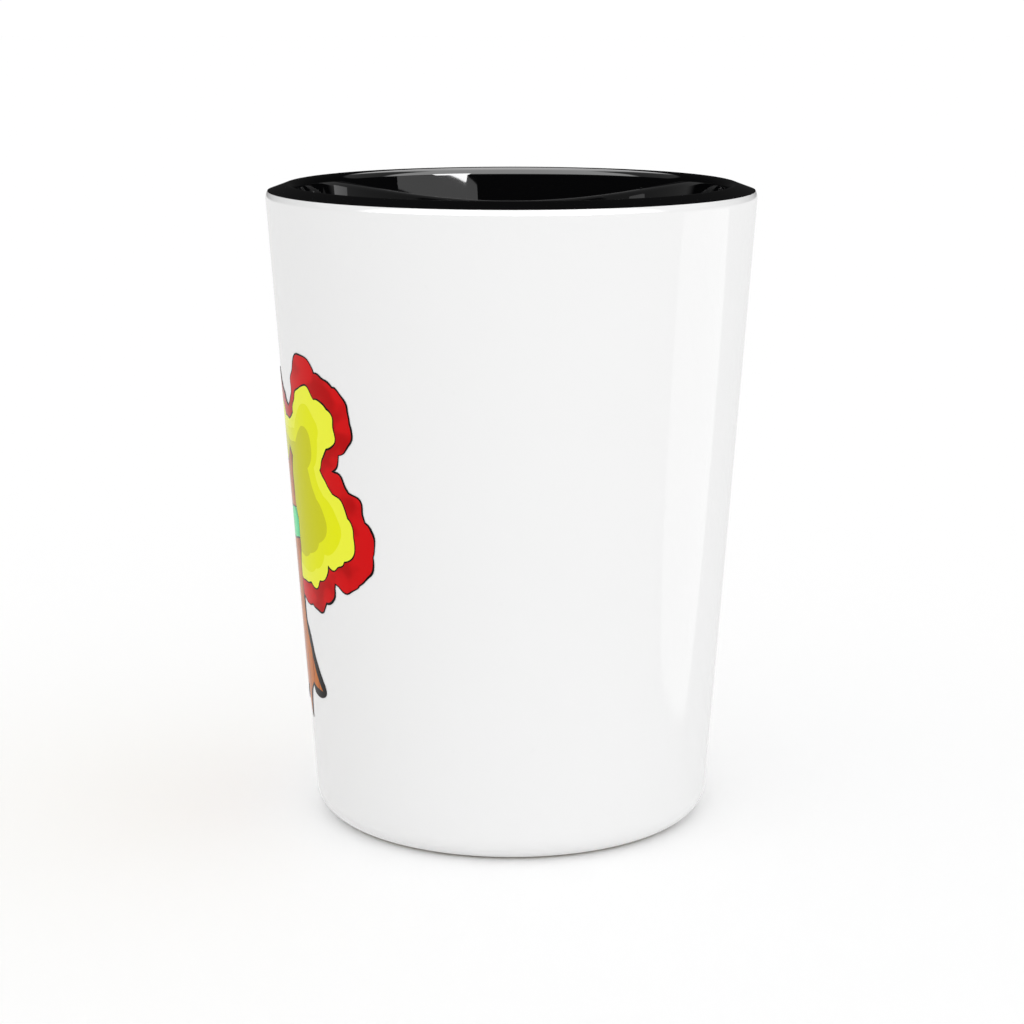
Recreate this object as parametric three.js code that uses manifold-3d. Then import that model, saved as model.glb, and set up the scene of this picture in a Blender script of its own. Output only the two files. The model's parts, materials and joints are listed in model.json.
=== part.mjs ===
// A souvenir shot cup: a tapered ceramic body, black glaze inside and over the lip, white glaze
// outside, a glazed recess inside a bare foot ring, and a print of an autumn tree on the wall.
// Millimetres, +Z up. The origin is the middle of the plane that the foot stands on, and the
// middle of the print faces -Y.
import * as THREE from 'three';
import { mergeVertices } from 'three/addons/utils/BufferGeometryUtils.js';
import Module from 'manifold-3d';

const wasm = await Module();
wasm.setup();

// --- Driving dimensions -------------------------------------------------------------------------

const CUP_HEIGHT = 60;        // table to the top of the lip
const RIM_RADIUS = 22.9;      // the outer cone's radius at CUP_HEIGHT
const BASE_RADIUS = 18.7;     // the outer cone's radius at the table
const RIM_WALL = 2.7;         // thickness of the finished wall at CUP_HEIGHT
const FLOOR_WALL = 3.4;       // thickness of the finished wall at the inner floor
const FLOOR_HEIGHT = 6.5;     // table to the finished inner floor
const LIP_OUTER_ROUND = 1.1;  // radius that turns the outer wall in towards the lip's edge
const LIP_INNER_ROUND = 0.7;  // radius of the lip's crest, where the inner wall begins
const LIP_DROP = 0.6;         // fall of the lip's top from its crest out to its edge
const FLOOR_FILLET = 5;       // radius where the inner wall meets the floor
const BASE_ROUND = 2.5;       // radius where the outer wall meets the foot
const FOOT_WIDTH = 2.6;       // width of the flat ring that the cup stands on
const RECESS_DEPTH = 1.3;     // table up to the finished face inside the foot ring
const RECESS_SLOPE = 35;      // lean of the recess's side from upright, in degrees

const GLAZE = 0.25;           // thickness of each glaze coat
const INK = 0.08;             // thickness of the print
const FUSED_GAP = 0.02;       // clearance between a coat and what it lies on or butts against
const SEAM_ANGLE = 34;        // where the outer round ends in the lip's edge, up from level
const GLAZE_END = 68;         // where the white stops on the base round, down from level

const PRINT_HEIGHT = 29;      // height of the print's middle above the table
const KEYLINE = 0.16;         // width of the dark lines round the colours
const INK_GAP = 0.05;         // clearance between neighbouring inks

const SEGMENTS = 48;          // sides of every turned piece
const ARC_STEP = 24;          // largest turn between points of a round, in degrees
const CURVE_STEPS = 2;        // chords in each curved stretch of a printed outline

// --- Colours and finishes -----------------------------------------------------------------------

const finish = (color, roughness) =>
  new THREE.MeshStandardMaterial({ color, roughness, metalness: 0 });

const FINISHES = {
  bisque: finish(0xe9e4da, 0.85),
  white: finish(0xf2f2f2, 0.12),
  black: finish(0x0c0c0d, 0.08),
  keyline: finish(0x0a0808, 0.3),
  red: finish(0xcc1616, 0.3),
  light_yellow: finish(0xe8ec42, 0.3),
  mid_yellow: finish(0xdade18, 0.3),
  deep_yellow: finish(0xc4c418, 0.3),
  brown: finish(0xb06a1c, 0.3),
  teal: finish(0x46dc8c, 0.3),
};

// --- The turned section -------------------------------------------------------------------------
// A finished surface is given by lines and by arcs about fixed centres, so a surface that lies
// some depth under it has the same centres and shorter or longer radii.

const radians = THREE.MathUtils.degToRad;
const outerTaper = Math.atan((RIM_RADIUS - BASE_RADIUS) / CUP_HEIGHT);
const outerRadius = (z) => BASE_RADIUS + z * Math.tan(outerTaper);

const innerRim = RIM_RADIUS - RIM_WALL;
const innerFoot = outerRadius(FLOOR_HEIGHT) - FLOOR_WALL;
const innerTaper = Math.atan((innerRim - innerFoot) / (CUP_HEIGHT - FLOOR_HEIGHT));
const innerRadius = (z) => innerFoot + (z - FLOOR_HEIGHT) * Math.tan(innerTaper);

const seam = radians(SEAM_ANGLE);
const seamGap = FUSED_GAP / 2 / LIP_OUTER_ROUND;
const lipOuter = touching(CUP_HEIGHT - LIP_DROP - LIP_OUTER_ROUND * Math.sin(seam), LIP_OUTER_ROUND);
const lipEdge = [
  lipOuter[0] + LIP_OUTER_ROUND * Math.cos(seam), lipOuter[1] + LIP_OUTER_ROUND * Math.sin(seam),
];
const crestZ = CUP_HEIGHT - LIP_INNER_ROUND;
const lipInner = [innerRadius(crestZ) + LIP_INNER_ROUND / Math.cos(innerTaper), crestZ];
const lipNormal = lipTopNormal();
const floorZ = FLOOR_HEIGHT + FLOOR_FILLET;
const floorCentre = [innerRadius(floorZ) - FLOOR_FILLET / Math.cos(innerTaper), floorZ];
const baseCentre = touching(BASE_ROUND, BASE_ROUND);
const glazeEnd = -radians(GLAZE_END);

// The centre, at a height, of a round that touches the outer cone from inside.
function touching(z, radius) {
  return [outerRadius(z) - radius / Math.cos(outerTaper), z];
}

// The lean of the lip's top, which is straight from its edge to where it touches the crest.
function lipTopNormal() {
  const [r, z] = [lipEdge[0] - lipInner[0], lipEdge[1] - lipInner[1]];
  return Math.atan2(z, r) + Math.acos(LIP_INNER_ROUND / Math.hypot(r, z));
}

// The end of the black at the lip's edge, some depth down the face where it butts the white.
function liningEnd(depth) {
  const lean = Math.cos(lipNormal - seam);
  const down = depth / lean;
  const inward = FUSED_GAP / 2 / lean;
  return [
    lipEdge[0] - down * Math.cos(seam) - inward * Math.sin(lipNormal),
    lipEdge[1] - down * Math.sin(seam) + inward * Math.cos(lipNormal),
  ];
}

function arc([r, z], radius, from, to) {
  const steps = Math.max(1, Math.ceil(Math.abs(to - from) / radians(ARC_STEP)));
  return Array.from({ length: steps + 1 }, (_, i) => {
    const a = from + ((to - from) * i) / steps;
    return [r + radius * Math.cos(a), z + radius * Math.sin(a)];
  });
}

// From the middle of the inner floor up the inner wall and over the lip to its edge.
function insideSkin(depth) {
  return [
    [0, FLOOR_HEIGHT - depth],
    ...arc(floorCentre, FLOOR_FILLET + depth, -Math.PI / 2, -innerTaper),
    ...arc(lipInner, LIP_INNER_ROUND - depth, Math.PI - innerTaper, Math.PI / 2),
    ...arc(lipInner, LIP_INNER_ROUND - depth, Math.PI / 2, lipNormal).slice(1),
    liningEnd(depth),
  ];
}

// From the lip's edge down the outer wall and round the base to where the glaze stops.
function outsideSkin(depth) {
  return [
    ...arc(lipOuter, LIP_OUTER_ROUND - depth, seam - seamGap, -outerTaper),
    ...arc(baseCentre, BASE_ROUND - depth, -outerTaper, glazeEnd),
  ];
}

// The foot ring's inner side at a height, leaning in as it rises.
function recessRadius(z) {
  return baseCentre[0] - FOOT_WIDTH - z * Math.tan(radians(RECESS_SLOPE));
}

// --- Turned pieces ------------------------------------------------------------------------------

function turned(profile) {
  const points = profile.map(([r, z]) => new THREE.Vector2(r, z));
  return new THREE.LatheGeometry(points, SEGMENTS).rotateX(Math.PI / 2);
}

// The fired core: it lies under the glazes, and comes to the surface at the foot ring.
function ceramicBody() {
  const core = GLAZE + FUSED_GAP;
  const bareStart = glazeEnd - FUSED_GAP / BASE_ROUND;
  return turned([
    [0, RECESS_DEPTH + core],
    [recessRadius(RECESS_DEPTH + core), RECESS_DEPTH + core],
    [recessRadius(0), 0],
    ...arc(baseCentre, BASE_ROUND, -Math.PI / 2, bareStart),
    ...outsideSkin(core).reverse(),
    ...insideSkin(core).reverse(),
  ]);
}

function linerGlaze() {
  return turned([...insideSkin(GLAZE), ...insideSkin(0).reverse()]);
}

function wallGlaze() {
  const path = [...outsideSkin(GLAZE), ...outsideSkin(0).reverse()];
  return turned([...path, path[0]]);
}

function baseGlaze() {
  const edge = (z) => recessRadius(z) - FUSED_GAP;
  const top = RECESS_DEPTH + GLAZE;
  return turned([[0, RECESS_DEPTH], [edge(RECESS_DEPTH), RECESS_DEPTH], [edge(top), top], [0, top]]);
}

// --- The print ----------------------------------------------------------------------------------
// Each outline is a list of [across, up, swell], measured from the middle of the print. Swell is
// how far the stretch to the next point bows outwards, as a share of the stretch's length. The
// right half is given, and the left half is its mirror image.

const CROWN = [
  [0, 13.9, 0.16], [3.2, 12.9, 0.14], [5.3, 11.5, 0], [6.3, 11.4, 0], [7.9, 12.5, 0.12],
  [9.3, 15.9, 0.24], [12.9, 14.9, 0.2], [15.4, 13.9, 0.24], [17.5, 11, 0.26], [15.8, 7.9, 0.1],
  [14.8, 6.3, 0.1], [16.9, 4.7, 0.22], [18.6, 2.1, 0.2], [19.3, -1, 0.24], [17.3, -3.7, 0.24],
  [14, -4.5, 0.2], [12.1, -6.5, 0.24], [8.9, -7.3, 0.16], [5, -6, 0], [0, -6, 0],
];
const HEART = [
  [0, 12.2, 0.12], [2.9, 11.3, 0.08], [4.8, 10.1, 0], [6.2, 9.9, -0.06], [7.9, 10.6, 0.12],
  [9.7, 13.4, 0.2], [12.6, 12.6, 0.18], [14.5, 11.9, 0.2], [15.5, 10.1, 0.16], [14.1, 8.2, 0.06],
  [12.7, 6.1, 0.02], [14.6, 4.3, 0.18], [16.4, 2.2, 0.16], [17.1, -0.6, 0.2], [15.6, -2, 0.22],
  [13, -2.9, 0.18], [11.2, -4.7, 0.22], [9, -5.3, 0.1], [5, -4.6, 0], [0, -4.6, 0],
];
const MIDDLE_TONE = [
  [0, 10.9, 0.1], [2.6, 10.1, 0.06], [4.6, 9, 0], [7.9, 9.1, 0.1], [9.8, 11.5, 0.2],
  [12.4, 10.9, 0.2], [12.7, 8.9, 0.1], [11.6, 6.2, -0.04], [13, 3.6, 0.12], [15, 1.8, 0.16],
  [15, -0.4, 0.16], [12.4, -1.8, 0.16], [10.4, -3.4, 0.16], [8, -4.1, 0], [5, -3.6, 0],
  [0, -3.6, 0],
];
const DEEP_TONE = [
  [0, 9.7, 0.08], [2.2, 9, 0.04], [4.4, 8, 0], [7.8, 7.9, 0.05], [9.6, 9.7, 0.2],
  [11.3, 8.9, 0.2], [10.4, 5.9, -0.04], [11.7, 3.2, 0.1], [13.2, 1.2, 0.2], [11.6, -0.9, 0.14],
  [9.4, -2.3, 0.12], [7.4, -2.8, 0], [5, -2.4, 0], [0, -2.4, 0],
];
const TRUNK = [
  [0, 8.4, 0], [0.9, 6.6, -0.06], [2.3, 5.2, -0.1], [5.4, 7.1, 0], [6.3, 6.4, -0.06],
  [5.8, 3.6, -0.08], [6.5, 0.4, 0.03], [6.1, -4, -0.02], [5.9, -8, -0.1], [7.2, -11.9, -0.08],
  [9.7, -15.6, 0.1], [6.9, -15.3, -0.12], [5.1, -19.2, 0.1], [4, -16.2, -0.14], [1.9, -18.1, 0.1],
  [0, -16.3, 0],
];
// The band crosses the trunk, and the shadow lies on its right side only, so both are whole.
const BAND = [
  [-8, 1.9, -0.06], [8, 1.9, 0], [8, -1.1, 0.06], [-8, -1.1, 0],
];
const SHADOW = [
  [5.6, -9, 0.06], [7.7, -11.6, -0.04], [10.3, -15, 0.3], [10, -16.1, 0.1], [7.3, -16.2, 0],
  [6.4, -15, 0], [8.2, -14.6, 0], [6.4, -11.6, 0],
];

const printRadius = outerRadius(PRINT_HEIGHT);
const WEDGE_NEAR = 0.5;   // where a wedge starts and ends, as shares of the way to the wall
const WEDGE_FAR = 3;

// The points along an outline, as given, or with its mirror image as its left half.
function outline(points, mirrored = true) {
  const shape = new THREE.Shape();
  const next = (i) => points[(i + 1) % points.length];
  const right = mirrored ? points.slice(0, -1) : points;
  const stretches = right.map(([x, y, swell], i) => [[x, y], next(i).slice(0, 2), swell]);
  if (mirrored) {
    const left = stretches.map(([a, b, swell]) => [[-b[0], b[1]], [-a[0], a[1]], swell]);
    stretches.push(...left.reverse());
  }
  shape.moveTo(...stretches[0][0]);
  for (const [[ax, ay], [bx, by], swell] of stretches) {
    const pullX = (ax + bx) / 2 - 2 * swell * (by - ay);
    const pullY = (ay + by) / 2 + 2 * swell * (bx - ax);
    if (swell === 0) shape.lineTo(bx, by);
    else shape.quadraticCurveTo(pullX, pullY, bx, by);
  }
  return shape.getPoints(CURVE_STEPS).slice(0, -1);
}

// An outline moved outwards by a distance, or inwards by a negative one.
function grown(points, distance) {
  const away = Math.sign(THREE.ShapeUtils.area(points)) * distance;
  return points.map((p, i) => {
    const before = points.at(i - 1);
    const after = points[(i + 1) % points.length];
    const a = p.clone().sub(before).normalize();
    const b = after.clone().sub(p).normalize();
    const mitre = a.clone().add(b).normalize();
    const stretch = away / Math.max(mitre.dot(a), 0.6);
    return new THREE.Vector2(p.x + mitre.y * stretch, p.y - mitre.x * stretch);
  });
}

function solid(geometry) {
  const bare = geometry.clone();
  bare.deleteAttribute('normal');
  bare.deleteAttribute('uv');
  const merged = mergeVertices(bare, 1e-4);
  return new wasm.Manifold(new wasm.Mesh({
    numProp: 3,
    vertProperties: merged.attributes.position.array,
    triVerts: new Uint32Array(merged.index.array),
  }));
}

function geometryOf(manifold) {
  const { vertProperties, triVerts } = manifold.getMesh();
  return new THREE.BufferGeometry()
    .setAttribute('position', new THREE.BufferAttribute(vertProperties, 3))
    .setIndex(new THREE.BufferAttribute(triVerts, 1));
}

// The space in line with an outline on the wall, as seen from the middle of the cup at the
// print's height. Its sides are flat, so they cut the ink cleanly.
function wedge(points, growth = 0) {
  const flat = new THREE.ExtrudeGeometry(new THREE.Shape(grown(points, growth)), {
    depth: 1, steps: 1, bevelEnabled: false,
  });
  const place = flat.attributes.position;
  for (let i = 0; i < place.count; i++) {
    const angle = place.getX(i) / printRadius;
    const r = outerRadius(PRINT_HEIGHT + place.getY(i));
    const reach = place.getZ(i) > 0.5 ? WEDGE_FAR : WEDGE_NEAR;
    const rise = PRINT_HEIGHT + reach * place.getY(i);
    place.setXYZ(i, reach * r * Math.sin(angle), -reach * r * Math.cos(angle), rise);
  }
  return solid(flat);
}

// A sleeve of ink round the whole wall, from which each colour keeps its own area.
function inkSleeve() {
  const under = FUSED_GAP / Math.cos(outerTaper);
  const over = (FUSED_GAP + INK) / Math.cos(outerTaper);
  const low = BASE_ROUND + FUSED_GAP;
  const high = lipOuter[1] - LIP_OUTER_ROUND;
  const corners = [[low, under], [low, over], [high, over], [high, under], [low, under]];
  return solid(turned(corners.map(([z, out]) => [outerRadius(z) + out, z])));
}

function printPieces() {
  const crown = outline(CROWN);
  const heart = outline(HEART);
  const middle = outline(MIDDLE_TONE);
  const deep = outline(DEEP_TONE);
  const band = outline(BAND, false);
  const shadow = outline(SHADOW, false);
  const trunkEdge = outline(TRUNK);
  const trunk = wedge(trunkEdge);

  const line = (points, half) => wedge(points, half).subtract(wedge(points, -half));
  const lines = (half) => line(crown, half).add(line(heart, half)).subtract(trunk)
    .add(line(band, half).intersect(trunk)).add(line(trunkEdge, half));
  const sleeve = inkSleeve();
  const film = (area, ...others) =>
    others.reduce((left, other) => left.subtract(other), sleeve.intersect(area));

  const taken = lines(KEYLINE / 2 + INK_GAP);
  const height = (piece) => piece.boundingBox().min[2];
  const wood = film(trunk, wedge(band), taken).decompose();
  const [stem, boughs] = wood.sort((a, b) => height(a) - height(b));
  return {
    print_keyline: ['keyline', film(lines(KEYLINE / 2))],
    print_red_border: ['red', film(wedge(crown), wedge(heart), trunk, wedge(shadow, INK_GAP), taken)],
    print_light_yellow: ['light_yellow', film(wedge(heart), wedge(middle, INK_GAP), trunk, taken)],
    print_mid_yellow: ['mid_yellow', film(wedge(middle), wedge(deep, INK_GAP), trunk, taken)],
    print_deep_yellow: ['deep_yellow', film(wedge(deep), trunk, taken)],
    print_brown_boughs: ['brown', boughs],
    print_brown_trunk: ['brown', stem],
    print_teal_band: ['teal', film(trunk.intersect(wedge(band)), taken)],
    print_root_shadow: ['keyline', film(wedge(shadow), trunk, taken)],
  };
}

// --- The cup ------------------------------------------------------------------------------------

const cup = new THREE.Group();

function addPiece(name, look, geometry) {
  const mesh = new THREE.Mesh(geometry, FINISHES[look]);
  mesh.name = name;
  cup.add(mesh);
}

addPiece('ceramic_body', 'bisque', ceramicBody());
addPiece('liner_glaze', 'black', linerGlaze());
addPiece('wall_glaze', 'white', wallGlaze());
addPiece('base_glaze', 'white', baseGlaze());
for (const [name, [look, film]] of Object.entries(printPieces())) {
  addPiece(name, look, geometryOf(film));
}

export default cup;
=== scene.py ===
"""A souvenir shot cup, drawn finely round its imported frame.

White glaze outside, black glaze inside and over the lip, a bare foot ring, and a printed autumn
tree on the wall. Metres, +Z up, the foot on the floor, and the middle of the print facing -Y.
"""
import json
import math

import bmesh
import bpy
from bpy.props import FloatProperty, FloatVectorProperty, IntProperty, PointerProperty
from bpy.types import Operator, Panel, PropertyGroup
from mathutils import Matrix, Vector, geometry, noise

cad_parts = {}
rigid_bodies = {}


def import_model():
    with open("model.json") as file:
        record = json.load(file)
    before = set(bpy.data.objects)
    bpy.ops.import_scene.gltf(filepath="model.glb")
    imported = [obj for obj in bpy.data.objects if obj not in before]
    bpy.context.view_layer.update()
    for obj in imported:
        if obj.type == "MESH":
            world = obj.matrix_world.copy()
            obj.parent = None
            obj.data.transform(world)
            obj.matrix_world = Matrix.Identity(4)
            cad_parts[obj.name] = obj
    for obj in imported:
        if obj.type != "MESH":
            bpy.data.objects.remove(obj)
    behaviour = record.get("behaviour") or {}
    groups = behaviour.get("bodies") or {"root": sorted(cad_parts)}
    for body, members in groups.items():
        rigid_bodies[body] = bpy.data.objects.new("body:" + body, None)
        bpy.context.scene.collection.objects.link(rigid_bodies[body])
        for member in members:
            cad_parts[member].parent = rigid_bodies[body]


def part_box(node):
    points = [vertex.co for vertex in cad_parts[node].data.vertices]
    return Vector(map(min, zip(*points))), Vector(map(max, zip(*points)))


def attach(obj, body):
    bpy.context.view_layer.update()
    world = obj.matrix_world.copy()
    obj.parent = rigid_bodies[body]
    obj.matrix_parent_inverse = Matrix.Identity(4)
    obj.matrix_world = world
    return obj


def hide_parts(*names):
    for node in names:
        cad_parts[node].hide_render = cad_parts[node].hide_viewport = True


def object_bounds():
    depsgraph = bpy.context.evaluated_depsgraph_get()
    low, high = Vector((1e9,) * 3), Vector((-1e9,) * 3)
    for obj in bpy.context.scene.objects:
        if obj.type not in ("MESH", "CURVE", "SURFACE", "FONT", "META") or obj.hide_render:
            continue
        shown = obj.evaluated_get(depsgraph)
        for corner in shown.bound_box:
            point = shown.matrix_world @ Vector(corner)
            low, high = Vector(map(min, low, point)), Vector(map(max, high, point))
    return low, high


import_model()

bl_info = {
    "name": "Souvenir Shot Cup",
    "version": (1, 0, 0),
    "blender": (4, 5, 0),
    "location": "3D View > Sidebar > Shot Cup",
    "description": "A two-tone glazed shot cup with a printed tree, on a pale studio floor",
    "category": "Object",
}

CAD_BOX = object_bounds()
CUP_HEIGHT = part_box("liner_glaze")[1].z
MM = 0.001


def linear(red, green, blue):
    """A colour given as 0 to 255 screen values, as the linear values that Blender works in."""
    def one(level):
        share = level / 255
        return share / 12.92 if share <= 0.04045 else ((share + 0.055) / 1.055) ** 2.4
    return one(red), one(green), one(blue)


# --- Sizes and colours that a user would change --------------------------------------------------

def length(name, description, default):
    """A size in metres."""
    return FloatProperty(name=name, description=description, default=default, min=0.0,
                         precision=5, unit="LENGTH", subtype="DISTANCE")


def turn(name, description, degrees):
    """An angle, given in degrees."""
    return FloatProperty(name=name, description=description, default=math.radians(degrees),
                         unit="ROTATION", subtype="ANGLE")


def paint(name, description, *levels):
    """A colour, given as screen values from 0 to 255."""
    return FloatVectorProperty(name=name, description=description, default=linear(*levels),
                               size=3, min=0.0, max=1.0, subtype="COLOR")


class CupShape(PropertyGroup):
    height: length("Height", "From the floor to the top of the lip", CUP_HEIGHT)
    rim_radius: length("Rim radius", "The outer cone's radius at the cup's height", 0.0229)
    base_radius: length("Base radius", "The outer cone's radius at the floor", 0.0187)
    rim_wall: length("Rim wall", "Thickness of the wall at the cup's height", 0.0027)
    floor_wall: length("Floor wall", "Thickness of the wall at the inner floor", 0.0034)
    floor_height: length("Floor height", "From the floor up to the cup's inner floor", 0.0065)
    lip_outer_round: length("Lip outer round", "Turns the wall in towards the lip's edge", 0.0011)
    lip_inner_round: length("Lip inner round", "Radius of the lip's crest", 0.0007)
    lip_drop: length("Lip drop", "Fall of the lip's top from its crest to its edge", 0.0006)
    floor_fillet: length("Floor fillet", "Radius where the inner wall meets the floor", 0.005)
    base_round: length("Base round", "Radius where the outer wall meets the foot", 0.0025)
    foot_width: length("Foot width", "Width of the flat ring the cup stands on", 0.0026)
    recess_depth: length("Recess depth", "Height of the glazed face inside the foot", 0.0013)
    recess_slope: turn("Recess slope", "Lean of the recess's side from upright", 35)
    glaze: length("Glaze", "Thickness of each glaze coat", 0.00025)
    coat_gap: length("Coat gap", "Clearance between a coat and what it lies on", 0.00002)
    seam_angle: turn("Seam angle", "Where the outer round meets the lip's edge, up from level", 34)
    glaze_end: turn("Glaze end", "Where the white stops on the base, down from level", 68)
    segments: IntProperty(name="Segments", description="Sides of every turned piece",
                          default=288, min=24, max=512)


class PrintShape(PropertyGroup):
    height: length("Height", "From the floor up to the print's middle", 0.029)
    film: length("Film", "Thickness of the ink", 0.00003)
    keyline: length("Keyline", "Width of the dark lines round the colours", 0.00016)
    ruling: length("Ruling", "Widest facet of the film round the wall", 0.0003)
    waver: FloatProperty(name="Waver", description="How freely the outlines are drawn",
                         default=1.0, min=0.0, max=2.0)


class Finishes(PropertyGroup):
    white: paint("White glaze", "The outside and the base", 229, 229, 229)
    black: paint("Black glaze", "The inside and the lip", 6, 6, 7)
    clay: paint("Bare clay", "The unglazed foot", 226, 220, 208)
    red: paint("Red ink", "The crown's border", 202, 18, 20)
    red_shade: paint("Red shade", "The darker patches of the border", 174, 10, 12)
    light_yellow: paint("Light yellow ink", "The crown's lit edge", 230, 234, 62)
    mid_yellow: paint("Middle yellow ink", "The crown's middle tone", 222, 226, 20)
    deep_yellow: paint("Deep yellow ink", "The crown's deepest tone", 198, 198, 22)
    brown: paint("Brown ink", "The trunk and the boughs", 188, 104, 24)
    brown_shade: paint("Brown shade", "The bark's dark strokes", 150, 74, 14)
    teal: paint("Teal ink", "The band round the trunk", 66, 222, 142)
    teal_shade: paint("Teal shade", "The band's dark strokes", 28, 168, 108)
    keyline: paint("Keyline ink", "The dark lines and the roots' shadow", 14, 9, 8)


class Studio(PropertyGroup):
    camera_distance: length("Camera distance", "From the cup's axis to the lens", 0.2314)
    camera_height: length("Camera height", "Of the lens above the floor", 0.0776)
    camera_side: length("Camera side step", "Of the lens towards +Y", 0.00005)
    camera_tilt: turn("Camera tilt", "Below level", 11.94)
    lens: FloatProperty(name="Lens", description="Focal length in millimetres",
                        default=86.96, min=1.0)
    dome: FloatProperty(name="Dome", description="Strength of the soft light from all round",
                        default=1.03, min=0.0)
    lamp: FloatProperty(name="Lamp", description="Power of the broad lamp on the right, in watts",
                        default=1.55, min=0.0)
    floor: paint("Floor", "The pale floor", 252, 252, 252)


# --- Node trees in plain words -------------------------------------------------------------------

def socket_of(sockets, key):
    """The socket at a number, or the one in use that has a name."""
    if isinstance(key, int):
        return sockets[key]
    return next(s for s in sockets if s.name == key and s.enabled)


class Value:
    """A node's output. Arithmetic on it adds Math nodes to its tree."""

    def __init__(self, graph, socket):
        self.graph, self.socket = graph, socket

    def out(self, name):
        """Another output of the same node."""
        return Value(self.graph, socket_of(self.socket.node.outputs, name))

    def math(self, operation, *values):
        made = dict(enumerate(values))
        return self.graph.node("ShaderNodeMath", {"operation": operation}, made)

    def smooth(self, start, end, low=0.0, high=1.0):
        """Low before start, high after end, and an even swing between them."""
        ranges = {"Value": self, "From Min": start, "From Max": end, "To Min": low, "To Max": high}
        return self.graph.node("ShaderNodeMapRange", {"interpolation_type": "SMOOTHSTEP"}, ranges)

    def __add__(self, other):
        return self.math("ADD", self, other)

    def __sub__(self, other):
        return self.math("SUBTRACT", self, other)

    def __mul__(self, other):
        return self.math("MULTIPLY", self, other)

    def __truediv__(self, other):
        return self.math("DIVIDE", self, other)

    def __rsub__(self, other):
        return self.math("SUBTRACT", other, self)

    __radd__ = __add__
    __rmul__ = __mul__


class Graph:
    """A node tree under construction. Every node of it is made by node()."""

    def __init__(self, tree):
        self.tree = tree
        tree.nodes.clear()

    def node(self, kind, settings=None, inputs=None):
        """Adds a node: its settings first, then the values or links of its sockets."""
        made = self.tree.nodes.new(kind)
        for name, value in (settings or {}).items():
            setattr(made, name, value)
        for key, value in (inputs or {}).items():
            socket = socket_of(made.inputs, key)
            for one in value if isinstance(value, list) else [value]:
                if isinstance(one, Value):
                    self.tree.links.new(one.socket, socket)
                else:
                    socket.default_value = one
        return Value(self, next((s for s in made.outputs if s.enabled), None))

    def mix(self, share, start, end):
        """A colour part of the way from start to end."""
        ends = {"Factor": share, "A": start, "B": end}
        return self.node("ShaderNodeMix", {"data_type": "RGBA"}, ends)


def rgba(colour, level=1.0):
    return tuple(channel * level for channel in colour) + (1.0,)


# --- The turned section --------------------------------------------------------------------------

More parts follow.
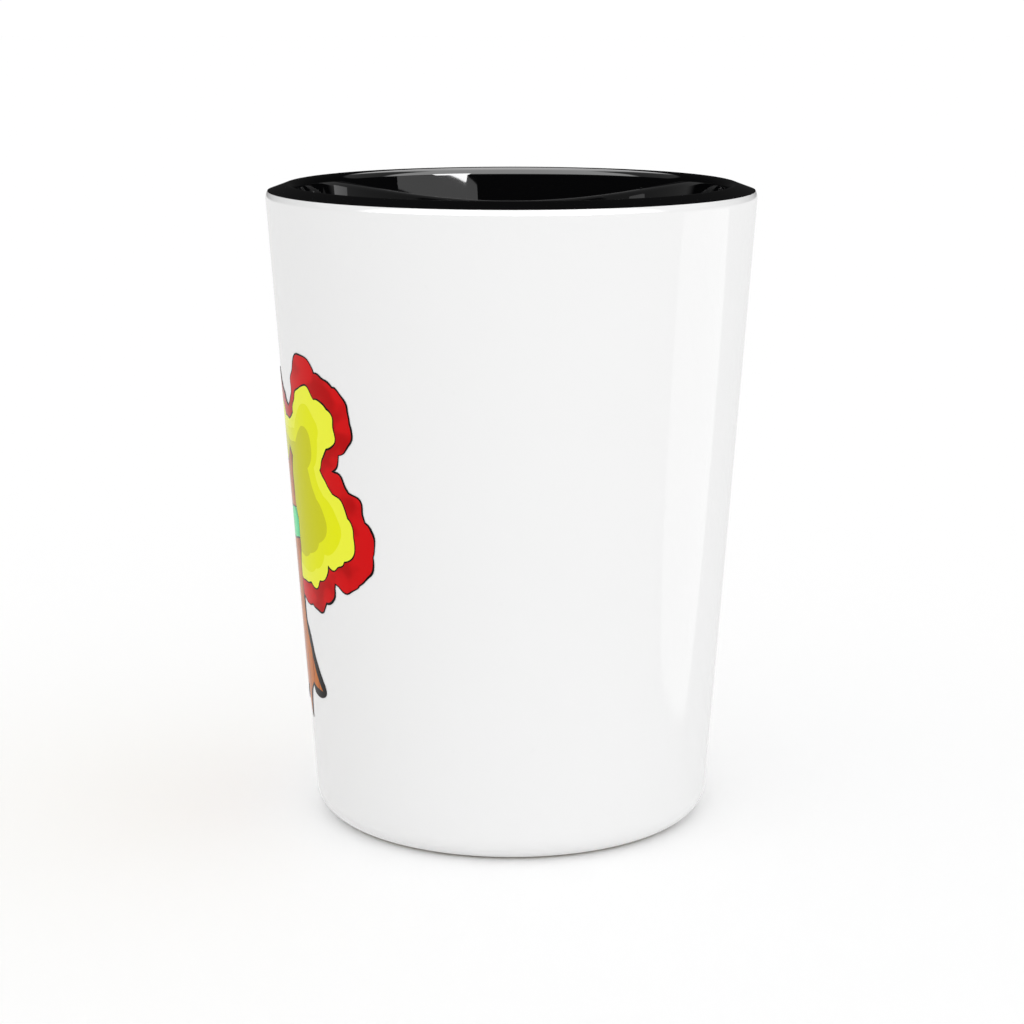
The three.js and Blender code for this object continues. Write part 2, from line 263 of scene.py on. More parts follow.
class Section:
    """The cup's section, as (radius, height): lines, and arcs about fixed centres.

    A surface that lies some depth under a finished one has the same centres and other radii.
    """

    FINE, COARSE = math.radians(3), math.radians(12)

    def __init__(self, shape):
        self.s = s = shape
        self.taper = math.atan((s.rim_radius - s.base_radius) / s.height)
        self.inner_foot = self.outer(s.floor_height) - s.floor_wall
        inner_rim = s.rim_radius - s.rim_wall
        self.inner_taper = math.atan((inner_rim - self.inner_foot) / (s.height - s.floor_height))
        across, up = math.cos(s.seam_angle), math.sin(s.seam_angle)
        self.lip_outer = self._touching(s.height - s.lip_drop - s.lip_outer_round * up,
                                        s.lip_outer_round)
        self.lip_edge = (self.lip_outer[0] + s.lip_outer_round * across, s.height - s.lip_drop)
        crest = s.height - s.lip_inner_round
        self.lip_inner = (self.inner(crest) + s.lip_inner_round / math.cos(self.inner_taper), crest)
        self.lip_lean = self._lip_lean()
        self.base = self._touching(s.base_round, s.base_round)
        floor = s.floor_height + s.floor_fillet
        self.floor = (self.inner(floor) - s.floor_fillet / math.cos(self.inner_taper), floor)

    def outer(self, height):
        return self.s.base_radius + height * math.tan(self.taper)

    def inner(self, height):
        return self.inner_foot + (height - self.s.floor_height) * math.tan(self.inner_taper)

    def _touching(self, height, radius):
        """The centre at a height of a round that touches the outer wall from inside."""
        return self.outer(height) - radius / math.cos(self.taper), height

    def _lip_lean(self):
        """The lean of the lip's top, straight from its edge to where it touches the crest."""
        r, z = (edge - crest for edge, crest in zip(self.lip_edge, self.lip_inner))
        return math.atan2(z, r) + math.acos(self.s.lip_inner_round / math.hypot(r, z))

    def _lining_end(self, depth):
        """The end of the black at the lip's edge, some depth down the face against the white."""
        down = depth / math.cos(self.lip_lean - self.s.seam_angle)
        return (self.lip_edge[0] - down * math.cos(self.s.seam_angle),
                self.lip_edge[1] - down * math.sin(self.s.seam_angle))

    def arc(self, centre, radius, start, end, step=FINE):
        count = max(1, math.ceil(abs(end - start) / step))
        angles = [start + (end - start) * i / count for i in range(count + 1)]
        return [(centre[0] + radius * math.cos(a), centre[1] + radius * math.sin(a))
                for a in angles]

    @staticmethod
    def rows(path, count=36):
        """The same path with its longest stretch cut into rows, closest at its two ends."""
        gaps = [math.dist(a, b) for a, b in zip(path, path[1:])]
        i = gaps.index(max(gaps))
        (r0, z0), (r1, z1) = path[i], path[i + 1]
        shares = [0.5 - 0.5 * math.cos(math.pi * n / count) for n in range(1, count)]
        between = [(r0 + (r1 - r0) * t, z0 + (z1 - z0) * t) for t in shares]
        return path[:i + 1] + between + path[i + 1:]

    def inside(self, depth, step=FINE):
        """From the middle of the inner floor up the inner wall and over the lip to its edge."""
        s = self.s
        top, crest = math.pi / 2, s.lip_inner_round - depth
        return [
            (0.0, s.floor_height - depth),
            *self.arc(self.floor, s.floor_fillet + depth, -top, -self.inner_taper, step),
            *self.arc(self.lip_inner, crest, math.pi - self.inner_taper, top, step),
            *self.arc(self.lip_inner, crest, top, self.lip_lean, step)[1:],
            self._lining_end(depth),
        ]

    def outside(self, depth, step=FINE):
        """From the lip's edge down the outer wall and round the base to where the glaze stops."""
        s = self.s
        return [
            *self.arc(self.lip_outer, s.lip_outer_round - depth, s.seam_angle, -self.taper, step),
            *self.arc(self.base, s.base_round - depth, -self.taper, -s.glaze_end, step),
        ]

    def recess(self, height):
        """The radius of the foot ring's inner side at a height."""
        return self.base[0] - self.s.foot_width - height * math.tan(self.s.recess_slope)

    def body(self):
        s = self.s
        core = s.glaze + s.coat_gap
        bare = -s.glaze_end - s.coat_gap / s.base_round
        edge = 0.00012
        return [
            (0.0, s.recess_depth + core),
            (self.recess(s.recess_depth + core), s.recess_depth + core),
            (self.recess(edge), edge),
            (self.recess(0) + edge, 0.0),
            *self.arc(self.base, s.base_round, -math.pi / 2, bare),
            *reversed(self.outside(core, self.COARSE)),
            *reversed(self.inside(core, self.COARSE)),
        ]

    def liner(self):
        hidden = self.inside(self.s.glaze, self.COARSE)
        return hidden + list(reversed(self.rows(self.inside(0.0))))

    def wall(self):
        hidden = self.outside(self.s.glaze, self.COARSE)
        path = hidden + list(reversed(self.rows(self.outside(0.0))))
        return path + path[:1]

    def recess_coat(self):
        s = self.s
        top = s.recess_depth + s.glaze
        edge = [self.recess(z) - s.coat_gap for z in (s.recess_depth, top)]
        return [(0.0, s.recess_depth), (edge[0], s.recess_depth), (edge[1], top), (0.0, top)]


# --- Geometry trees ------------------------------------------------------------------------------

def geometry_tree(name, inputs):
    """A new geometry tree with named inputs, its graph, and its input node."""
    tree = bpy.data.node_groups.new(name, "GeometryNodeTree")
    tree.interface.new_socket("Geometry", in_out="INPUT", socket_type="NodeSocketGeometry")
    for label, kind in inputs.items():
        tree.interface.new_socket(label, in_out="INPUT", socket_type="NodeSocket" + kind)
    tree.interface.new_socket("Geometry", in_out="OUTPUT", socket_type="NodeSocketGeometry")
    graph = Graph(tree)
    return tree, graph, graph.node("NodeGroupInput")


def end_tree(graph, shape, given):
    """Smooth faces, real geometry and the finish, as the last nodes of every tree."""
    shape = graph.node("GeometryNodeSetShadeSmooth", inputs={"Geometry": shape})
    shape = graph.node("GeometryNodeRealizeInstances", inputs={"Geometry": shape})
    shape = graph.node("GeometryNodeSetMaterial",
                       inputs={"Geometry": shape, "Material": given.out("Finish")})
    graph.node("NodeGroupOutput", inputs={"Geometry": shape})


def turning_tree():
    """Turns a section's points about the cup's axis into a closed skin."""
    tree, g, given = geometry_tree("Turn Section", {
        "Segments": "Int", "Weld": "Float", "Finish": "Material"})
    segments = given.out("Segments")
    size = g.node("GeometryNodeAttributeDomainSize", inputs={"Geometry": given.out("Geometry")})
    points = size.out("Point Count")
    grid = g.node("GeometryNodeMeshGrid", inputs={
        "Size X": 1.0, "Size Y": 1.0, "Vertices X": segments + 1, "Vertices Y": points})
    place = g.node("ShaderNodeSeparateXYZ", inputs={0: g.node("GeometryNodeInputPosition")})
    row = (place.out("Y") + 0.5) * (points - 1)
    row = row.math("ROUND", row)
    column = (place.out("X") + 0.5) * segments
    column = column.math("ROUND", column)
    drawn = g.node("GeometryNodeSampleIndex", {"data_type": "FLOAT_VECTOR", "domain": "POINT"}, {
        "Geometry": given.out("Geometry"), "Value": g.node("GeometryNodeInputPosition"),
        "Index": row})
    section = g.node("ShaderNodeSeparateXYZ", inputs={0: drawn})
    radius, angle = section.out("X"), column * math.tau / segments
    around = g.node("ShaderNodeCombineXYZ", inputs={
        "X": radius * angle.math("COSINE", angle), "Y": radius * angle.math("SINE", angle),
        "Z": section.out("Z")})
    skin = g.node("GeometryNodeSetPosition", inputs={"Geometry": grid, "Position": around})
    skin = g.node("GeometryNodeMergeByDistance", inputs={
        "Geometry": skin, "Distance": given.out("Weld")})
    end_tree(g, skin, given)
    return tree


def wrapping_tree():
    """Gives flat artwork a thickness and wraps it round the cup's tapered wall."""
    tree, g, given = geometry_tree("Wrap Print", {
        "Film": "Float", "Gap": "Float", "Height": "Float", "Base Radius": "Float",
        "Taper": "Float", "Weld": "Float", "Finish": "Material"})
    flat = given.out("Geometry")
    lift = g.node("ShaderNodeCombineXYZ", inputs={"Z": 1.0})
    raised = g.node("GeometryNodeExtrudeMesh", {"mode": "FACES"}, {
        "Mesh": flat, "Offset": lift, "Offset Scale": given.out("Film"), "Individual": False})
    under = g.node("GeometryNodeFlipFaces", inputs={"Mesh": flat})
    film = g.node("GeometryNodeJoinGeometry", inputs={"Geometry": [raised, under]})
    film = g.node("GeometryNodeMergeByDistance", inputs={
        "Geometry": film, "Distance": given.out("Weld")})
    place = g.node("ShaderNodeSeparateXYZ", inputs={0: g.node("GeometryNodeInputPosition")})
    height, taper = given.out("Height"), given.out("Taper")
    slope = taper.math("TANGENT", taper)
    middle = given.out("Base Radius") + height * slope
    angle = place.out("X") / middle
    up = height + place.out("Y")
    proud = (given.out("Gap") + place.out("Z")) / taper.math("COSINE", taper)
    radius = given.out("Base Radius") + up * slope + proud
    around = g.node("ShaderNodeCombineXYZ", inputs={
        "X": radius * angle.math("SINE", angle), "Y": radius * angle.math("COSINE", angle) * -1.0,
        "Z": up})
    film = g.node("GeometryNodeSetPosition", inputs={"Geometry": film, "Position": around})
    end_tree(g, film, given)
    return tree


def grown_by(tree, mesh, name, inputs):
    """An object whose mesh is what the tree makes of a starting mesh."""
    piece = bpy.data.objects.new(name, mesh)
    bpy.context.collection.objects.link(piece)
    modifier = piece.modifiers.new("Shape", "NODES")
    modifier.node_group = tree
    sockets = {item.name: item.identifier for item in tree.interface.items_tree
               if item.in_out == "INPUT"}
    for label, value in inputs.items():
        modifier[sockets[label]] = value
    finished = piece.evaluated_get(bpy.context.evaluated_depsgraph_get())
    made = bpy.data.meshes.new_from_object(finished)
    piece.modifiers.clear()
    piece.data = made
    made.name = name
    bpy.data.meshes.remove(mesh)
    if not made.polygons:
        raise RuntimeError(f"{name} has no faces")
    return piece


def face_outwards(piece):
    """Every face outwards, with an edge kept crisp where two faces meet at a clear angle."""
    made = bmesh.new()
    made.from_mesh(piece.data)
    bmesh.ops.dissolve_degenerate(made, edges=made.edges, dist=1e-9)
    bmesh.ops.recalc_face_normals(made, faces=made.faces)
    made.to_mesh(piece.data)
    made.free()
    piece.data.set_sharp_from_angle(angle=math.radians(28))


def place(piece, slot, *nodes):
    """The piece rides on the cup, and the frame nodes it takes the place of are hidden; the slot is
    not used.
    """
    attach(piece, "root")
    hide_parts(*nodes)


def turned(name, points, finish, shape):
    mesh = bpy.data.meshes.new(name + "_section")
    mesh.from_pydata([(min(r, CAD_BOX[1].x), 0.0, z) for r, z in points], [], [])
    piece = grown_by(turning_tree(), mesh, name, {
        "Segments": shape.segments, "Weld": 1e-6, "Finish": finish})
    face_outwards(piece)
    return piece


# --- Finishes ------------------------------------------------------------------------------------

class Finish(Graph):
    """A material whose one shader is a Principled BSDF."""

    def __init__(self, name, **fixed):
        self.material = bpy.data.materials.new(name)
        self.material.use_nodes = True
        super().__init__(self.material.node_tree)
        self.place = self.node("ShaderNodeTexCoord").out("Object")
        self.fixed = fixed

    def grain(self, size, detail=2.0, roughness=0.5, stretch=(1, 1, 1), seed=0.0, where=None):
        """Soft random levels from 0 to 1, with features of about this size."""
        scale = tuple(1 / (size * share) for share in stretch)
        spread = self.node("ShaderNodeMapping", {"vector_type": "POINT"}, {
            "Vector": where or self.place, "Location": (seed, seed * 0.7, -seed),
            "Scale": scale})
        return self.node("ShaderNodeTexNoise", {"noise_dimensions": "3D"}, {
            "Vector": spread, "Scale": 1.0, "Detail": detail, "Roughness": roughness})

    def bump(self, height, depth):
        """A normal bent by a height from 0 to 1 that stands for this depth in metres."""
        return self.node("ShaderNodeBump", inputs={
            "Height": height, "Strength": 1.0, "Distance": depth})

    def done(self, **varying):
        """Joins everything to the shader and returns the material."""
        names = {"colour": "Base Color", "roughness": "Roughness", "normal": "Normal",
                 "ior": "IOR", "specular": "Specular IOR Level"}
        values = {**self.fixed, **varying}
        shader = self.node("ShaderNodeBsdfPrincipled",
                           inputs={names[key]: value for key, value in values.items()})
        self.node("ShaderNodeOutputMaterial", inputs={"Surface": shader})
        return self.material


def glaze(name, colour, gloss, specular=0.5, cloud=0.012):
    """Fired glaze: glassy, very slightly uneven in level, gloss and tone."""
    f = Finish(name, ior=1.5, specular=specular)
    pool = f.grain(0.011, 3.0)
    skin = f.grain(0.0032, 2.0, seed=4.0)
    pits = f.grain(0.0009, 1.0, seed=9.0).smooth(0.74, 0.8)
    shade = 1 - pool * cloud - pits * cloud
    tone = f.mix(shade, (0.0, 0.0, 0.0, 1.0), rgba(colour, 1 / (1 - cloud / 2)))
    return f.done(colour=tone, roughness=gloss * (0.7 + pool * 0.8) + pits * 0.05,
                  normal=f.bump(skin - pits * 0.6, 0.0000005))


def bare_clay(name, colour):
    """Unglazed fired clay: a dry grain, iron specks, and a greyed edge where it stands."""
    f = Finish(name, specular=0.3)
    grit = f.grain(0.00025, 3.0, 0.7)
    stain = f.grain(0.004, 4.0, 0.6, seed=2.0)
    specks = f.grain(0.0005, 1.0, seed=7.0).smooth(0.7, 0.76)
    height = f.node("ShaderNodeSeparateXYZ", inputs={0: f.place}).out("Z")
    stood_on = height.smooth(0.0, 0.0003, 1.0, 0.0) * (0.1 + stain * 0.4)
    tone = f.mix(stain * 0.35 + grit * 0.15, rgba(colour), rgba(colour, 0.8))
    tone = f.mix(specks * 0.55, tone, rgba(linear(122, 92, 66)))
    tone = f.mix(stood_on, tone, rgba(linear(186, 181, 172)))
    return f.done(colour=tone, roughness=0.74 + grit * 0.2,
                  normal=f.bump(grit + stain * 0.5 - specks, 0.00003))


def on_the_wall(f, wall_radius):
    """A place on the wall as if it were unrolled flat: across, nothing, and up."""
    spot = f.node("ShaderNodeSeparateXYZ", inputs={0: f.place})
    front = spot.out("Y") * -1.0
    across = front.math("ARCTAN2", spot.out("X"), front) * wall_radius
    return f.node("ShaderNodeCombineXYZ", inputs={"X": across, "Z": spot.out("Z")})


def ink(name, colour, shade, wall_radius, marks=None):
    """Fired ink under gloss: a fine mottle, and a darker shade in soft drawn marks."""
    f = Finish(name, ior=1.5, specular=0.04)
    flat = on_the_wall(f, wall_radius)
    mottle = f.grain(0.0004, 2.0, where=flat)
    tone = f.mix(mottle * 0.12, rgba(colour), rgba(colour, 0.82))
    if marks:
        size, stretch, start, end, seed = marks
        strokes = f.grain(size, 2.0, 0.55, stretch, seed, flat).smooth(start, end)
        tone = f.mix(strokes, tone, rgba(shade))
    return f.done(colour=tone, roughness=0.13 + mottle * 0.05,
                  normal=f.bump(f.grain(0.0032, 2.0, seed=4.0), 0.0000012))


# --- The print -----------------------------------------------------------------------------------
# Each outline is a list of (across, up, swell) in millimetres from the print's middle. Swell is
# how far the stretch to the next point bows outwards, as a share of the stretch's length. The
# right half is given, and the left half is its mirror image; the last two outlines are whole.

CROWN = [
    (0, 13.9, .16), (3.2, 12.9, .14), (5.3, 11.5, 0), (6.3, 11.4, 0), (7.9, 12.5, .12),
    (9.3, 15.9, .24), (12.9, 14.9, .2), (15.4, 13.9, .24), (17.5, 11, .26), (15.8, 7.9, .1),
    (14.8, 6.3, .1), (16.9, 4.7, .22), (18.6, 2.1, .2), (19.3, -1, .24), (17.3, -3.7, .24),
    (14, -4.5, .2), (12.1, -6.5, .24), (8.9, -7.3, .16), (5, -6, 0), (0, -6, 0),
]
HEART = [
    (0, 12.2, .12), (2.9, 11.3, .08), (4.8, 10.1, 0), (6.2, 9.9, -.06), (7.9, 10.6, .12),
    (9.7, 13.4, .2), (12.6, 12.6, .18), (14.5, 11.9, .2), (15.5, 10.1, .16), (14.1, 8.2, .06),
    (12.7, 6.1, .02), (14.6, 4.3, .18), (16.4, 2.2, .16), (17.1, -.6, .2), (15.6, -2, .22),
    (13, -2.9, .18), (11.2, -4.7, .22), (9, -5.3, .1), (5, -4.6, 0), (0, -4.6, 0),
]
MIDDLE_TONE = [
    (0, 10.9, .1), (2.6, 10.1, .06), (4.6, 9, 0), (7.9, 9.1, .1), (9.8, 11.5, .2),
    (12.4, 10.9, .2), (12.7, 8.9, .1), (11.6, 6.2, -.04), (13, 3.6, .12), (15, 1.8, .16),
    (15, -.4, .16), (12.4, -1.8, .16), (10.4, -3.4, .16), (8, -4.1, 0), (5, -3.6, 0),
    (0, -3.6, 0),
]
DEEP_TONE = [
    (0, 9.7, .08), (2.2, 9, .04), (4.4, 8, 0), (7.8, 7.9, .05), (9.6, 9.7, .2),
    (11.3, 8.9, .2), (10.4, 5.9, -.04), (11.7, 3.2, .1), (13.2, 1.2, .2), (11.6, -.9, .14),
    (9.4, -2.3, .12), (7.4, -2.8, 0), (5, -2.4, 0), (0, -2.4, 0),
]
TRUNK = [
    (0, 8.4, 0), (.9, 6.6, -.06), (2.3, 5.2, -.1), (5.4, 7.1, 0), (6.3, 6.4, -.06),
    (5.8, 3.6, -.08), (6.5, .4, .03), (6.1, -4, -.02), (5.9, -8, -.1), (7.2, -11.9, -.08),
    (9.7, -15.6, .1), (6.9, -15.3, -.12), (5.1, -19.2, .1), (4, -16.2, -.14), (1.9, -18.1, .1),
    (0, -16.3, 0),
]
BAND = [(-8, 1.9, -.06), (8, 1.9, 0), (8, -1.1, .06), (-8, -1.1, 0)]
SHADOW = [
    (5.6, -9, .06), (7.7, -11.6, -.04), (10.3, -15, .3), (10, -16.1, .1), (7.3, -16.2, 0),
    (6.4, -15, 0), (8.2, -14.6, 0), (6.4, -11.6, 0),
]

# Each printed piece: its frame node and its slot.
PRINTED = {
    "Ink_Keylines": ("print_keyline", "ink_black"),
    "Ink_Red_Border": ("print_red_border", "ink_red"),
    "Ink_Light_Yellow": ("print_light_yellow", "ink_light_yellow"),
    "Ink_Middle_Yellow": ("print_mid_yellow", "ink_mid_yellow"),
    "Ink_Deep_Yellow": ("print_deep_yellow", "ink_deep_yellow"),
    "Ink_Brown_Boughs": ("print_brown_boughs", "ink_brown"),
    "Ink_Brown_Trunk": ("print_brown_trunk", "ink_brown"),
    "Ink_Teal_Band": ("print_teal_band", "ink_teal"),
    "Ink_Root_Shadow": ("print_root_shadow", "ink_black"),
}


def area(points):
    """Twice an outline's area: positive where it runs anticlockwise."""
    return sum(a.x * b.y - b.x * a.y for a, b in zip(points, points[1:] + points[:1]))


def normals(points):
    """The outward direction at each point of a closed outline, and how far a mitre reaches."""
    side = 1 if area(points) > 0 else -1
    found = []
    for i, p in enumerate(points):
        a = (p - points[i - 1]).normalized()
        b = (points[(i + 1) % len(points)] - p).normalized()
        mean = (a + b).normalized() if (a + b).length > 1e-6 else a
        found.append((Vector((mean.y, -mean.x)) * side, 1 / max(mean.dot(a), 0.6)))
    return found


def drawn(points, mirrored=True, waver=0.0, wave=2.2, seed=0.0, spacing=0.3):
    """The points along an outline, drawn with a slight waver of the hand."""
    following = points[1:] + points[:1]
    stretches = [(Vector(a[:2]), Vector(b[:2]), a[2]) for a, b in zip(points, following)]
    if mirrored:
        stretches = stretches[:-1]
        turned_round = [(Vector((-b.x, b.y)), Vector((-a.x, a.y)), swell)
                        for a, b, swell in stretches]
        stretches += reversed(turned_round)
    outline = []
    for a, b, swell in stretches:
        pull = (a + b) / 2 + 2 * swell * Vector((a.y - b.y, b.x - a.x))
        count = max(2, round((b - a).length / spacing))
        for i in range(count):
            t = i / count
            outline.append(a * (1 - t) ** 2 + pull * 2 * t * (1 - t) + b * t * t)
    lift = [2 * waver * noise.noise(Vector((p.x / wave, p.y / wave, seed))) for p in outline]
    return [p + away * by for p, (away, _), by in zip(outline, normals(outline), lift)]


def widened(outline, distance, vary=0.35, seed=3.0):
    """An outline moved outwards, unevenly, as a pen line's edge is."""
    moved = []
    for p, (away, mitre) in zip(outline, normals(outline)):
        share = 1 + vary * 2 * noise.noise(Vector((p.x / 1.7, p.y / 1.7, seed)))
        moved.append(p + away * (distance * mitre * max(0.4, share)))
    return moved


def colour_of(inside, up):
    """The printed piece that a spot belongs to, from the shapes it lies in."""
    def line(shape):
        return shape + "_out" in inside and shape + "_in" not in inside
    trunk = "trunk" in inside
    lines = ("trunk", "band") if trunk else ("trunk", "crown", "heart")
    if any(line(shape) for shape in lines):
        return "Ink_Keylines"
    if trunk:
        if "band" in inside:
            return "Ink_Teal_Band"
        return "Ink_Brown_Boughs" if up > BAND[2][1] else "Ink_Brown_Trunk"
    layers = {"shadow": "Ink_Root_Shadow", "deep": "Ink_Deep_Yellow",
              "middle": "Ink_Middle_Yellow", "heart": "Ink_Light_Yellow", "crown": "Ink_Red_Border"}
    return next((name for shape, name in layers.items() if shape in inside), None)


def print_outlines(shape):
    """Every shape of the print in millimetres, and the two edges of every dark line."""
    free = shape.waver
    half = shape.keyline / MM / 2
    shapes = {
        "crown": drawn(CROWN, waver=0.22 * free, wave=1.5, seed=1.0),
        "heart": drawn(HEART, waver=0.2 * free, wave=1.4, seed=2.0),
        "middle": drawn(MIDDLE_TONE, waver=0.14 * free, seed=5.0),
        "deep": drawn(DEEP_TONE, waver=0.14 * free, seed=8.0),
        "trunk": drawn(TRUNK, waver=0.09 * free, wave=1.6, seed=11.0),
        "band": drawn(BAND, mirrored=False, waver=0.06 * free, wave=1.2, seed=13.0),
        "shadow": drawn(SHADOW, mirrored=False, waver=0.04 * free, seed=17.0),
    }
    for name in ("crown", "heart", "trunk", "band"):
        shapes[name + "_out"] = widened(shapes[name], half)
        shapes[name + "_in"] = widened(shapes[name], -half)
    return shapes


def flat_mesh(name, spots, triangles):
    """A flat mesh of the spots that the triangles use."""
    used = sorted({i for triangle in triangles for i in triangle})
    renumber = {old: new for new, old in enumerate(used)}
    mesh = bpy.data.meshes.new(name + "_artwork")
    mesh.from_pydata([(spots[i].x * MM, spots[i].y * MM, 0.0) for i in used], [],
                     [[renumber[i] for i in triangle] for triangle in triangles])
    return mesh


def flat_artwork(shape):
    """Each printed piece as flat triangles, in metres across and up from the print's middle."""
    shapes = print_outlines(shape)
    corners, faces = [], []
    for outline in shapes.values():
        # Anticlockwise, and started away from a narrow tip, or the shape's inside isn't found.
        if area(outline) < 0:
            outline = outline[::-1]
        start = len(outline) // 4
        faces.append(list(range(len(corners), len(corners) + len(outline))))
        corners += outline[start:] + outline[:start]
    # Upright rulings past the print on both sides, so that the film bends evenly round the wall.
    edges = []
    pitch, reach = shape.ruling / MM, 24
    rulings = math.ceil(reach / pitch)
    for i in range(-rulings, rulings + 1):
        edges.append((len(corners), len(corners) + 1))
        corners += [Vector((i * pitch, -reach)), Vector((i * pitch, reach))]
    spots, _, cells, _, _, sources = geometry.delaunay_2d_cdt(corners, edges, faces, 0, 1e-5)
    names = list(shapes)
    artwork = {name: [] for name in PRINTED}
    for cell, origins in zip(cells, sources):
        inside = {names[i] for i in origins}
        up = sum(spots[i].y for i in cell) / 3
        name = colour_of(inside, up) if inside else None
        if name:
            artwork[name].append(cell)
    return {name: flat_mesh(name, spots, triangles) for name, triangles in artwork.items()}


# --- Operators -----------------------------------------------------------------------------------

class MakePiece:
    """What every operator here shares."""

    bl_options = {"REGISTER", "UNDO"}

    def execute(self, context):
        self.make(context.scene)
        return {"FINISHED"}


class CUP_OT_body(MakePiece, Operator):
    """The fired clay core, bare at the foot ring"""

    bl_idname = "shot_cup.body"
    bl_label = "Clay Body"

    def make(self, scene):
        shape, colours = scene.cup_shape, scene.cup_finishes
        finish = bare_clay("Bare clay", colours.clay)
        piece = turned("Clay_Body", Section(shape).body(), finish, shape)
        place(piece, "bisque", "ceramic_body")


class CUP_OT_liner(MakePiece, Operator):
    """The black glaze inside the cup and over its lip"""

    bl_idname = "shot_cup.liner"
    bl_label = "Black Liner Glaze"

    def make(self, scene):
        shape, colours = scene.cup_shape, scene.cup_finishes
        finish = glaze("Black glaze", colours.black, 0.012)
        piece = turned("Liner_Glaze", Section(shape).liner(), finish, shape)
        place(piece, "black_glaze", "liner_glaze")


class CUP_OT_white(MakePiece, Operator):
    """The white glaze on the outer wall and in the recess of the base"""

    bl_idname = "shot_cup.white"
    bl_label = "White Glaze"

    def make(self, scene):
        shape, colours = scene.cup_shape, scene.cup_finishes
        finish = glaze("White glaze", colours.white, 0.055)
        section = Section(shape)
        wall = turned("Wall_Glaze", section.wall(), finish, shape)
        place(wall, "white_glaze", "wall_glaze")
        base = turned("Base_Glaze", section.recess_coat(), finish, shape)
        place(base, "white_glaze", "base_glaze")


class CUP_OT_print(MakePiece, Operator):
    """The printed tree: one thin film of ink for each area of colour"""

    bl_idname = "shot_cup.print"
    bl_label = "Printed Tree"

    def make(self, scene):
        cup, shape, c = scene.cup_shape, scene.cup_print, scene.cup_finishes
        section = Section(cup)
        wall = section.outer(shape.height)
        upright, patches = (0.35, 1.0, 2.6), (1.0, 1.0, 0.8)
        finishes = {
            "ink_black": ink("Black ink", c.keyline, c.keyline, wall),
            "ink_red": ink("Red ink", c.red, c.red_shade, wall, (0.0042, patches, .44, .62, 3.0)),
            "ink_light_yellow": ink("Light yellow ink", c.light_yellow, c.light_yellow, wall),
            "ink_mid_yellow": ink("Middle yellow ink", c.mid_yellow, c.mid_yellow, wall),
            "ink_deep_yellow": ink("Deep yellow ink", c.deep_yellow, c.deep_yellow, wall),
            "ink_brown": ink("Brown ink", c.brown, c.brown_shade, wall,
                             (0.0018, upright, .5, .56, 6.0)),
            "ink_teal": ink("Teal ink", c.teal, c.teal_shade, wall,
                            (0.0011, upright, .52, .58, 9.0)),
        }
        wrap = wrapping_tree()
        for name, artwork in flat_artwork(shape).items():
            node, slot = PRINTED[name]
            piece = grown_by(wrap, artwork, name, {
                "Film": shape.film, "Gap": cup.coat_gap, "Height": shape.height,
                "Base Radius": cup.base_radius, "Taper": section.taper, "Weld": 1e-7,
                "Finish": finishes[slot]})
            face_outwards(piece)
            place(piece, slot, node)


# A light panel: its bearing round the cup from +X towards +Y and its distance, its lowest and
# highest edge, its width, the radius of its corners, and its strength.
PANELS = {
    "Panel_Side": (103.0, 0.70, -0.254, -0.02, 0.476, 0.11, 1.55),
    "Panel_Front": (43.0, 0.90, 0.121, 0.1455, 0.80, 0.011, 1.35),
    "Panel_Key": (34.0, 0.85, 0.1343, 0.24, 0.34, 0.052, 25.0),
}

# What gloss mirrors besides the panels: a floor below the horizon, a dark band above it, and a
# bright screen overhead that is brighter still round the zenith.
FLOOR_GLOW, DARK_GLOW, SCREEN_GLOW, ZENITH_GLOW = 0.86, 0.02, 5.3, 2.0
BACKDROP_GLOW = 1.02


def panel(name, bearing, distance, low, high, width, corner, strength):
    """A soft light panel that shows in gloss only and throws no shadow."""
    a = math.radians(bearing)
    outline = []
    for cx, cz, start in ((1, 1, 0), (-1, 1, 90), (-1, -1, 180), (1, -1, 270)):
        for i in range(13):
            t = math.radians(start + 90 * i / 12)
            outline.append(((width / 2 - corner) * cx + corner * math.cos(t),
                            (high - low) / 2 * cz - corner * cz + corner * math.sin(t)
                            + (high + low) / 2))
    spots = [(distance * math.cos(a) - x * math.sin(a), distance * math.sin(a) + x * math.cos(a), z)
             for x, z in outline]
    mesh = bpy.data.meshes.new(name)
    mesh.from_pydata(spots, [], [list(range(len(spots)))])
    lamp = bpy.data.objects.new(name, mesh)
    bpy.context.collection.objects.link(lamp)
    light = bpy.data.materials.new(name)
    light.use_nodes = True
    g = Graph(light.node_tree)
    glow = g.node("ShaderNodeEmission", inputs={"Color": (1, 1, 1, 1), "Strength": strength})
    g.node("ShaderNodeOutputMaterial", inputs={"Surface": glow})
    mesh.materials.append(light)
    lamp.visible_camera = lamp.visible_diffuse = lamp.visible_shadow = False
    lamp.visible_transmission = False


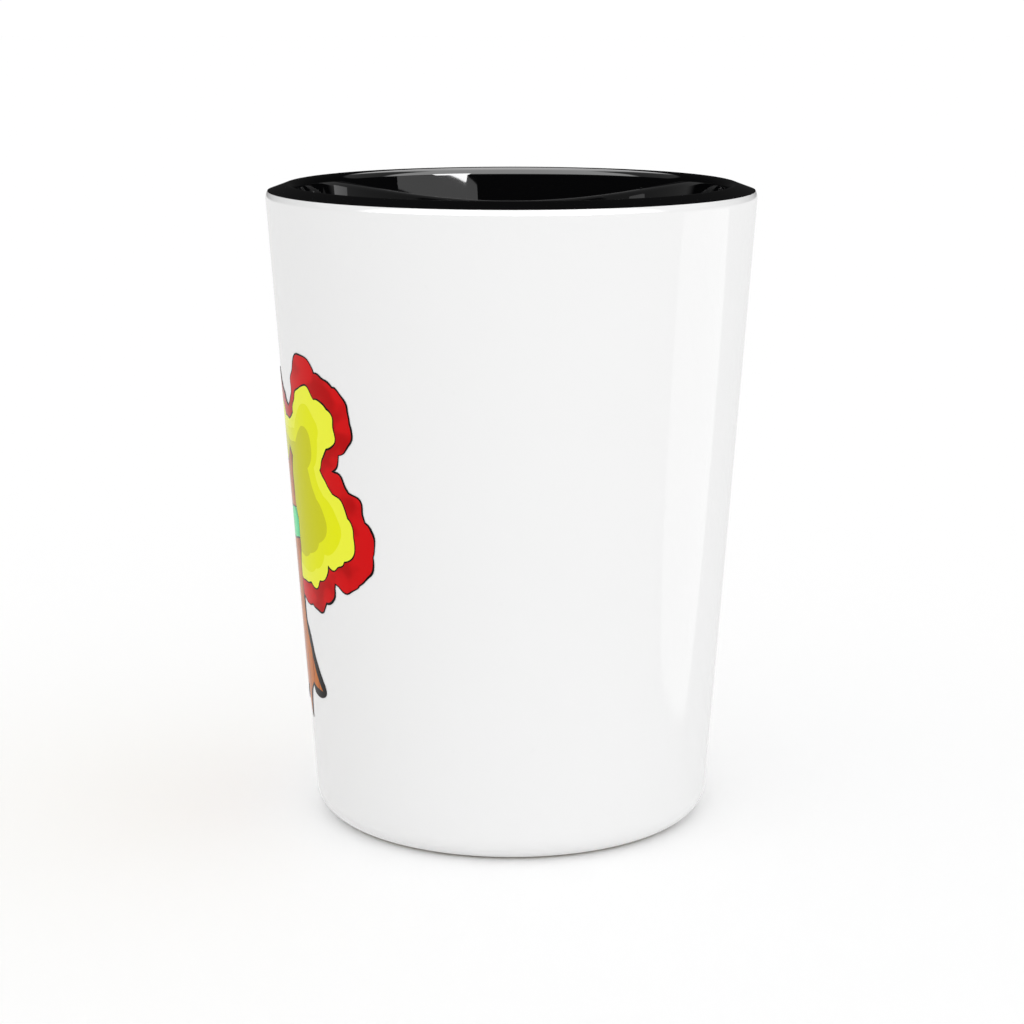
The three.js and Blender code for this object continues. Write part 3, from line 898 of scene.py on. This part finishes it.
class CUP_OT_stage(MakePiece, Operator):
    """The pale floor, the soft light and the camera"""

    bl_idname = "shot_cup.stage"
    bl_label = "Studio"

    def make(self, scene):
        studio = scene.cup_studio
        self.floor(studio)
        self.dome(scene, studio)
        self.lamp(studio)
        for name, facts in PANELS.items():
            panel(name, *facts)
        self.camera(scene, studio)

    def floor(self, studio, reach=4.0):
        mesh = bpy.data.meshes.new("Floor")
        mesh.from_pydata([(-reach, -reach, 0), (reach, -reach, 0), (reach, reach, 0),
                          (-reach, reach, 0)], [], [(0, 1, 2, 3)])
        floor = bpy.data.objects.new("Floor", mesh)
        bpy.context.collection.objects.link(floor)
        g = Finish("Floor", specular=0.0)
        dust = g.grain(0.05, 3.0)
        mesh.materials.append(g.done(
            colour=g.mix(dust * 0.01, rgba(studio.floor), rgba(studio.floor, 0.97)),
            roughness=0.9 + dust * 0.05))
        floor.visible_glossy = False

    def dome(self, scene, studio):
        """White to the eye, even for matt surfaces, and a dark room with a screen for gloss."""
        scene.world = bpy.data.worlds.new("Studio")
        scene.world.use_nodes = True
        g = Graph(scene.world.node_tree)
        way = g.node("ShaderNodeSeparateXYZ",
                     inputs={0: g.node("ShaderNodeTexCoord").out("Generated")})
        up, across = way.out("Z"), way.out("Y")
        below = up.smooth(-0.06, 0.0, FLOOR_GLOW, DARK_GLOW)
        screen = up.smooth(0.098, 0.12, 0.0, SCREEN_GLOW) + up.smooth(0.9, 1.0, 0.0, ZENITH_GLOW)
        ahead = (way.out("X") + up * 0.72).smooth(-0.06, 0.03)
        flank = across.math("ABSOLUTE", across).smooth(0.45, 0.6)
        flank = flank * way.out("X").smooth(0.22, 0.34, 0.92, 0.0)
        overhead = screen * ahead * (1 - flank)
        ray = g.node("ShaderNodeLightPath")
        level = g.node("ShaderNodeMix", {"data_type": "FLOAT"}, {
            "Factor": ray.out("Is Glossy Ray"), "A": studio.dome, "B": below + overhead})
        level = g.node("ShaderNodeMix", {"data_type": "FLOAT"}, {
            "Factor": ray.out("Is Camera Ray"), "A": level, "B": BACKDROP_GLOW})
        glow = g.node("ShaderNodeBackground", inputs={"Color": (1, 1, 1, 1), "Strength": level})
        g.node("ShaderNodeOutputWorld", inputs={"Surface": glow})
        scene.view_settings.view_transform = "Standard"

    def lamp(self, studio, bearing=25, rise=14, away=0.95):
        """A broad lamp on the right for the cup alone, with no shadow and no glint of its own."""
        light = bpy.data.lights.new("Broad_Lamp", "AREA")
        light.shape, light.size, light.size_y = "RECTANGLE", 0.8, 0.45
        light.energy, light.use_shadow = studio.lamp, False
        lamp = bpy.data.objects.new("Broad_Lamp", light)
        bpy.context.collection.objects.link(lamp)
        bearing, rise = math.radians(bearing), math.radians(rise)
        way = Vector((math.cos(rise) * math.cos(bearing), math.cos(rise) * math.sin(bearing),
                      math.sin(rise)))
        lamp.location = way * away
        lamp.rotation_euler = way.to_track_quat("Z", "Y").to_euler()
        lamp.visible_glossy = lamp.visible_camera = False
        cup = bpy.data.collections.new("Lit_Cup")
        for piece in bpy.context.scene.objects:
            if piece.type == "MESH" and piece.name != "Floor":
                cup.objects.link(piece)
        lamp.light_linking.receiver_collection = cup

    def camera(self, scene, studio):
        camera = bpy.data.objects.new("Camera", bpy.data.cameras.new("Camera"))
        bpy.context.collection.objects.link(camera)
        camera.location = (studio.camera_distance, studio.camera_side, studio.camera_height)
        camera.rotation_euler = (math.pi / 2 - studio.camera_tilt, 0, math.pi / 2)
        camera.data.sensor_width = 36
        camera.data.lens = studio.lens
        camera.data.clip_start = 0.01
        scene.camera = camera


class CUP_PT_panel(Panel):
    """The cup's sizes, finishes and makers"""

    bl_idname = "CUP_PT_panel"
    bl_label = "Shot Cup"
    bl_space_type = "VIEW_3D"
    bl_region_type = "UI"
    bl_category = "Shot Cup"

    def draw(self, context):
        layout = self.layout
        layout.use_property_split = True
        for group in ("cup_shape", "cup_print", "cup_finishes", "cup_studio"):
            box = layout.box()
            settings = getattr(context.scene, group)
            for name in settings.__annotations__:
                box.prop(settings, name)
        for maker in MAKERS:
            layout.operator(maker.bl_idname)


GROUPS = {"cup_shape": CupShape, "cup_print": PrintShape, "cup_finishes": Finishes,
          "cup_studio": Studio}
MAKERS = (CUP_OT_body, CUP_OT_liner, CUP_OT_white, CUP_OT_print, CUP_OT_stage)


def register():
    for part in (*GROUPS.values(), *MAKERS, CUP_PT_panel):
        bpy.utils.register_class(part)
    for name, group in GROUPS.items():
        setattr(bpy.types.Scene, name, PointerProperty(type=group))


def unregister():
    for name in GROUPS:
        delattr(bpy.types.Scene, name)
    for part in (CUP_PT_panel, *reversed(MAKERS), *reversed(GROUPS.values())):
        bpy.utils.unregister_class(part)


def main():
    register()
    bpy.ops.shot_cup.body()
    bpy.ops.shot_cup.liner()
    bpy.ops.shot_cup.white()
    bpy.ops.shot_cup.print()
    bpy.ops.shot_cup.stage()


if __name__ == "__main__":
    main()
